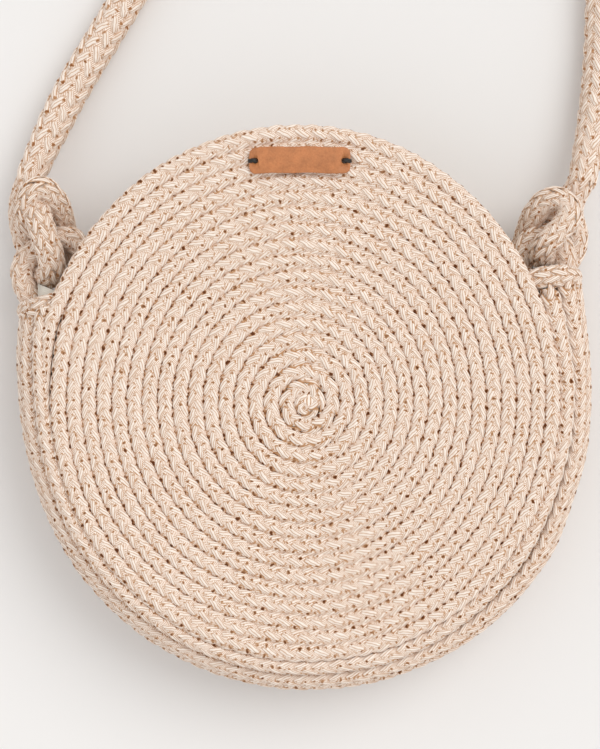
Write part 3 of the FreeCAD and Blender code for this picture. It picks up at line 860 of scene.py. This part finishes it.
def label_plate(low, centre, size):
    """A strip of leather with round corners and eased edges, a little bowed."""
    bm = bmesh.new()
    bmesh.ops.create_grid(bm, x_segments=1, y_segments=1, size=0.5,
                          matrix=Matrix.Translation(centre) @ Matrix.Diagonal((size.x, size.y, 1, 1)))
    bmesh.ops.bevel(bm, geom=bm.verts[:], offset=2.6 * MM, offset_type="OFFSET", affect="VERTICES",
                    segments=6, profile=0.5, material=-1)
    cuts = 16
    for cut in range(1, cuts):
        bmesh.ops.bisect_plane(bm, geom=bm.verts[:] + bm.edges[:] + bm.faces[:],
                               plane_co=(low.x + size.x * cut / cuts, 0, 0), plane_no=(1, 0, 0))
    body = bmesh.ops.extrude_face_region(bm, geom=bm.faces[:])["geom"]
    upper = [v for v in body if isinstance(v, bmesh.types.BMVert)]
    thickness = size.z * 0.9
    bmesh.ops.translate(bm, verts=upper, vec=(0, 0, thickness))
    bmesh.ops.translate(bm, verts=bm.verts, vec=(0, 0, -thickness / 2))
    bmesh.ops.recalc_face_normals(bm, faces=bm.faces)
    rim = [e for e in bm.edges if e.calc_face_angle(0) > 1.0]
    bmesh.ops.bevel(bm, geom=rim, offset=0.22 * MM, offset_type="OFFSET", affect="EDGES", segments=2,
                    profile=0.5, material=-1)
    for vert in bm.verts:
        share = (vert.co.x - centre.x) / size.x
        # The long strip bows up in the middle and its edges wave a little.
        vert.co.y += (0.9 - 3.2 * share ** 2) * 0.5 * MM + 0.12 * MM * math.sin(share * 17)
        vert.co.z += (0.35 - 1.6 * share ** 2) * MM
    return new_piece("label_leather", bm, leather())


def punch(label, place):
    """Punches a round hole through the label."""
    radius = 1.1 * MM
    bm = bmesh.new()
    bmesh.ops.create_cone(bm, cap_ends=True, segments=20, radius1=radius, radius2=radius, depth=12 * MM,
                          matrix=Matrix.Translation(place))
    tool = new_piece("punch", bm, label.data.materials[0])
    hole = label.modifiers.new("hole", "BOOLEAN")
    hole.object, hole.operation, hole.solver = tool, "DIFFERENCE", "EXACT"
    make_plain(label)
    bpy.data.objects.remove(tool)


def twisted_thread(name, route, material):
    """A thread of three plies twisted round a route in metres."""
    runs = []
    for ply in range(3):
        points = []
        for index, place in enumerate(route):
            twist = ply * 2.1 + index * 1.1
            across, up = math.cos(twist) * 0.44 * MM, math.sin(twist) * 0.30 * MM
            points.append(Vector(place) + Vector((0, across, up)))
        holder = line("thread_line", points, "BEZIER", flat=False)
        holder.data.bevel_depth, holder.data.bevel_resolution = 0.52 * MM, 2
        holder.data.use_fill_caps = True
        mesh = drawn(holder)
        bpy.data.objects.remove(holder)
        mesh.materials.clear()
        mesh.materials.append(material)
        runs.append(put("ply", mesh))
    return join(name, runs)


class BAG_OT_label(bpy.types.Operator):
    """Bare leather label, tied down with a black thread at each end"""

    bl_idname = "bag.label"
    bl_label = "Leather label"

    def execute(self, context):
        low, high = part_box("label")
        # The corners are rounder and the strip a little smaller than the part's plain plate.
        centre, size = (low + high) / 2, (high - low) * Vector((0.985, 0.95, 1))
        hole_place, edge_place = size.x / 2 - 2.4 * MM, size.x / 2 - 0.3 * MM
        label = label_plate(low, centre, size)
        for side in (-1, 1):
            punch(label, (centre.x + side * hole_place, centre.y, centre.z))
        settle(label, "bag", "label")
        thread, top = waxed_thread(), centre.z + 0.75 * MM
        for side, name in ((-1, "label_thread_left"), (1, "label_thread_right")):
            # The thread comes up through the hole and goes down over the label's end.
            hole, edge = centre.x + side * hole_place, centre.x + side * edge_place
            route = [(hole - side * 0.1 * MM, centre.y, top - 1.6 * MM), (hole, centre.y, top + 0.1 * MM),
                     ((hole + edge) / 2, centre.y, top + 0.45 * MM), (edge, centre.y, top - 0.2 * MM),
                     (edge + side * 0.4 * MM, centre.y, top - 2.0 * MM)]
            settle(twisted_thread(name + "_twist", route, thread), "bag", name)
        return {"FINISHED"}


def spun(profile, centre, start, sweep, steps):
    """A profile of (radius, z) in millimetres swept round a centre, as a bmesh, and its last edge."""
    bm = bmesh.new()
    verts = [bm.verts.new(polar(centre, radius, start, z)) for radius, z in profile]
    edges = [bm.edges.new(pair) for pair in zip(verts, verts[1:])]
    made = bmesh.ops.spin(bm, geom=verts + edges, cent=(*(centre * MM), 0), axis=(0, 0, 1),
                          angle=math.radians(sweep), steps=steps, use_duplicate=False, use_merge=sweep == 360)
    return bm, made["geom_last"]


def lining_disc(side, z, cloth):
    """A disc of lining behind a panel, not quite flat."""
    radius, rings = 98.2, 14
    bm = spun([(radius * i / rings, z) for i in range(rings + 1)], EYE, 0, 360, 72)[0]
    bmesh.ops.remove_doubles(bm, verts=bm.verts, dist=0.01 * MM)
    bmesh.ops.recalc_face_normals(bm, faces=bm.faces)
    for vert in bm.verts:
        vert.co.z += 0.15 * MM * math.sin(vert.co.x / MM * 0.11) * math.cos(vert.co.y / MM * 0.13)
    disc = thicken(new_piece(side + "_lining_cloth", bm, cloth), 0.5 * MM)
    settle(disc, "bag", side + "_lining")


def gusset_strip(cloth):
    """The lining's strip round the side, which bulges with the rows, about 4 mm inside their middles."""
    # Its profile from front to back: how far it bulges past the gusset's arc, and the height.
    rim = [(0.3, 42.0), (5.0, 38.4), (7.2, 33.2), (7.6, 27.5),
           (7.6, 21.2), (7.2, 15.5), (5.0, 10.3), (0.3, 6.7)]
    profile = [(GUSSET_RADIUS + bulge, z) for bulge, z in rim]
    # It starts a few degrees before the rows and ends about where they do.
    start, finish = SPIRAL_END - 6.5, GUSSET_END + 1
    bm, last = spun(profile, GUSSET_CENTRE, start, JOINT - start, 62)
    ends = [bm.verts[:len(rim)]]
    last = bmesh.ops.spin(bm, geom=last, cent=(*(MOUTH_CENTRE * MM), 0), axis=(0, 0, 1),
                          angle=math.radians(finish - JOINT), steps=16, use_duplicate=False)["geom_last"]
    ends.append(sorted((v for v in last if isinstance(v, bmesh.types.BMVert)), key=lambda v: -v.co.z))
    for vert in bm.verts:
        vert.co = sway(vert.co.copy())
        # The strip's end at the left hangs loose and flares out.
        if vert.co.x < 0:
            vert.co.x -= 0.25 * max(0.0, vert.co.y - 41 * MM)
    # At each end a gore closes the bag between the strip and the zip's wall.
    for end, angle in zip(ends, (WALL_START + WALL_SWEEP, WALL_START)):
        seam = [bm.verts.new(polar(MOUTH_CENTRE, WALL_RADIUS, angle, z)) for bulge, z in rim]
        for corners in zip(end, end[1:], seam[1:], seam):
            bm.faces.new(corners)
    bmesh.ops.recalc_face_normals(bm, faces=bm.faces)
    strip = thicken(new_piece("gusset_lining_cloth", bm, cloth), 0.5 * MM)
    settle(strip, "bag", "gusset_lining")


def zip_wall(cloth):
    """The wall across the mouth, with a window for the zip between its second and fourth levels."""
    levels = [6.3, 13.3, 24.33, 35.3, 42.4]
    middle, half_window = 91, 45
    bm = spun([(WALL_RADIUS, z) for z in levels], MOUTH_CENTRE, WALL_START, WALL_SWEEP, 69)[0]
    window = []
    for face in bm.faces:
        place = face.calc_center_median() / MM
        angle = math.degrees(math.atan2(place.y - MOUTH_CENTRE.y, place.x - MOUTH_CENTRE.x))
        if levels[1] < place.z < levels[3] and abs(angle - middle) < half_window:
            window.append(face)
    bmesh.ops.delete(bm, geom=window, context="FACES")
    wall = thicken(new_piece("zip_panel_cloth", bm, cloth), 0.7 * MM)
    settle(wall, "bag", "zip_panel")


class BAG_OT_lining(bpy.types.Operator):
    """Cloth lining: a disc behind each panel, a strip inside the gusset and the wall that holds the zip"""

    bl_idname = "bag.lining"
    bl_label = "Lining"

    def execute(self, context):
        cloth = woven("lining_cotton", context.scene.bag_colours.cloth, 0.9 * MM, 0.85)
        lining_disc("front", 42.97, cloth)
        lining_disc("back", 5.7, cloth)
        gusset_strip(cloth)
        zip_wall(cloth)
        return {"FINISHED"}


def zip_tape(side, way, cloth):
    """One tape of the zip, along an edge of the wall's window."""
    inner_edge, width, strips = 5.0, 11.0, 6
    start, sweep = 41.9, 98.2
    heights = [MIDDLE_Z + way * (inner_edge + width * i / strips) for i in range(strips + 1)]
    bm = spun([(ZIP_RADIUS, z) for z in heights], MOUTH_CENTRE, start, sweep, 60)[0]
    bmesh.ops.recalc_face_normals(bm, faces=bm.faces)
    tape = thicken(new_piece("zip_tape_%s_weave" % side, bm, cloth), 0.5 * MM)
    settle(tape, "bag", "zip_tape_" + side)


def zip_coil(side, way, wire):
    """One coil of the zip: a turn of wire repeated along the tape's edge."""
    pitch, wire_radius, coil_radius = 1.25 * MM, 0.34 * MM, 0.86 * MM
    start, sweep = 50, 82
    bm = bmesh.new()
    ring = bmesh.ops.create_circle(bm, cap_ends=False, segments=6, radius=wire_radius,
                                   matrix=Matrix.Translation((0, 0, coil_radius))
                                   @ Matrix.Rotation(math.pi / 2, 4, "Y"))["verts"]
    steps = 10
    bmesh.ops.spin(bm, geom=ring + bm.edges[:], cent=(0, 0, 0), axis=(1, 0, 0), dvec=(pitch / steps, 0, 0),
                   angle=2 * math.pi, steps=steps, use_duplicate=False, use_merge=False)
    bmesh.ops.recalc_face_normals(bm, faces=bm.faces)
    coil = new_piece("zip_coil_%s_wire" % side, bm, wire)
    z = MIDDLE_Z + way * 3.7
    points = [polar(MOUTH_CENTRE, ZIP_RADIUS, start + sweep * i / 20, z) for i in range(21)]
    holder = line("coil_line", points)
    repeat_along(coil, holder, int(math.radians(sweep) * ZIP_RADIUS * MM / pitch), pitch)
    make_plain(coil)
    bpy.data.objects.remove(holder)
    settle(coil, "bag", "zip_coil_" + side)


class BAG_OT_zip(bpy.types.Operator):
    """Zip: two tapes, two nylon coils, and the brass slider, pull and stops"""

    bl_idname = "bag.zip"
    bl_label = "Zip"

    def execute(self, context):
        tape_cloth = woven("zip_tape_weave", linear("DCC9B0"), 0.8 * MM, 0.7)
        wire = nylon()
        for side, way in (("front", 1), ("back", -1)):
            zip_tape(side, way, tape_cloth)
            zip_coil(side, way, wire)
        brass = satin_brass()
        for node in ("zip_slider", "zip_pull", "zip_stop_start", "zip_stop_end"):
            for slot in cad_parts[node].material_slots:
                slot.material = brass
        return {"FINISHED"}


class BAG_PT_sidebar(bpy.types.Panel):
    """Sizes, colours and steps of the bag"""

    bl_idname = "BAG_PT_sidebar"
    bl_label = "Circle bag"
    bl_space_type = "VIEW_3D"
    bl_region_type = "UI"
    bl_category = "Circle bag"

    def draw(self, context):
        for group in (context.scene.bag_sizes, context.scene.bag_colours):
            for name in group.__annotations__:
                self.layout.prop(group, name)
        for operator in OPERATORS:
            self.layout.operator(operator.bl_idname)


OPERATORS = (BAG_OT_stage, BAG_OT_panels, BAG_OT_gusset, BAG_OT_bails, BAG_OT_knots, BAG_OT_strap,
             BAG_OT_label, BAG_OT_lining, BAG_OT_zip)
CLASSES = (RopeSizes, BagColours, *OPERATORS, BAG_PT_sidebar)


def register():
    for cls in CLASSES:
        bpy.utils.register_class(cls)
    bpy.types.Scene.bag_sizes = PointerProperty(type=RopeSizes)
    bpy.types.Scene.bag_colours = PointerProperty(type=BagColours)


def unregister():
    del bpy.types.Scene.bag_colours
    del bpy.types.Scene.bag_sizes
    for cls in reversed(CLASSES):
        bpy.utils.unregister_class(cls)


def main():
    register()
    for operator in OPERATORS:
        getattr(bpy.ops.bag, operator.bl_idname.split(".")[1])()


if __name__ == "__main__":
    main()
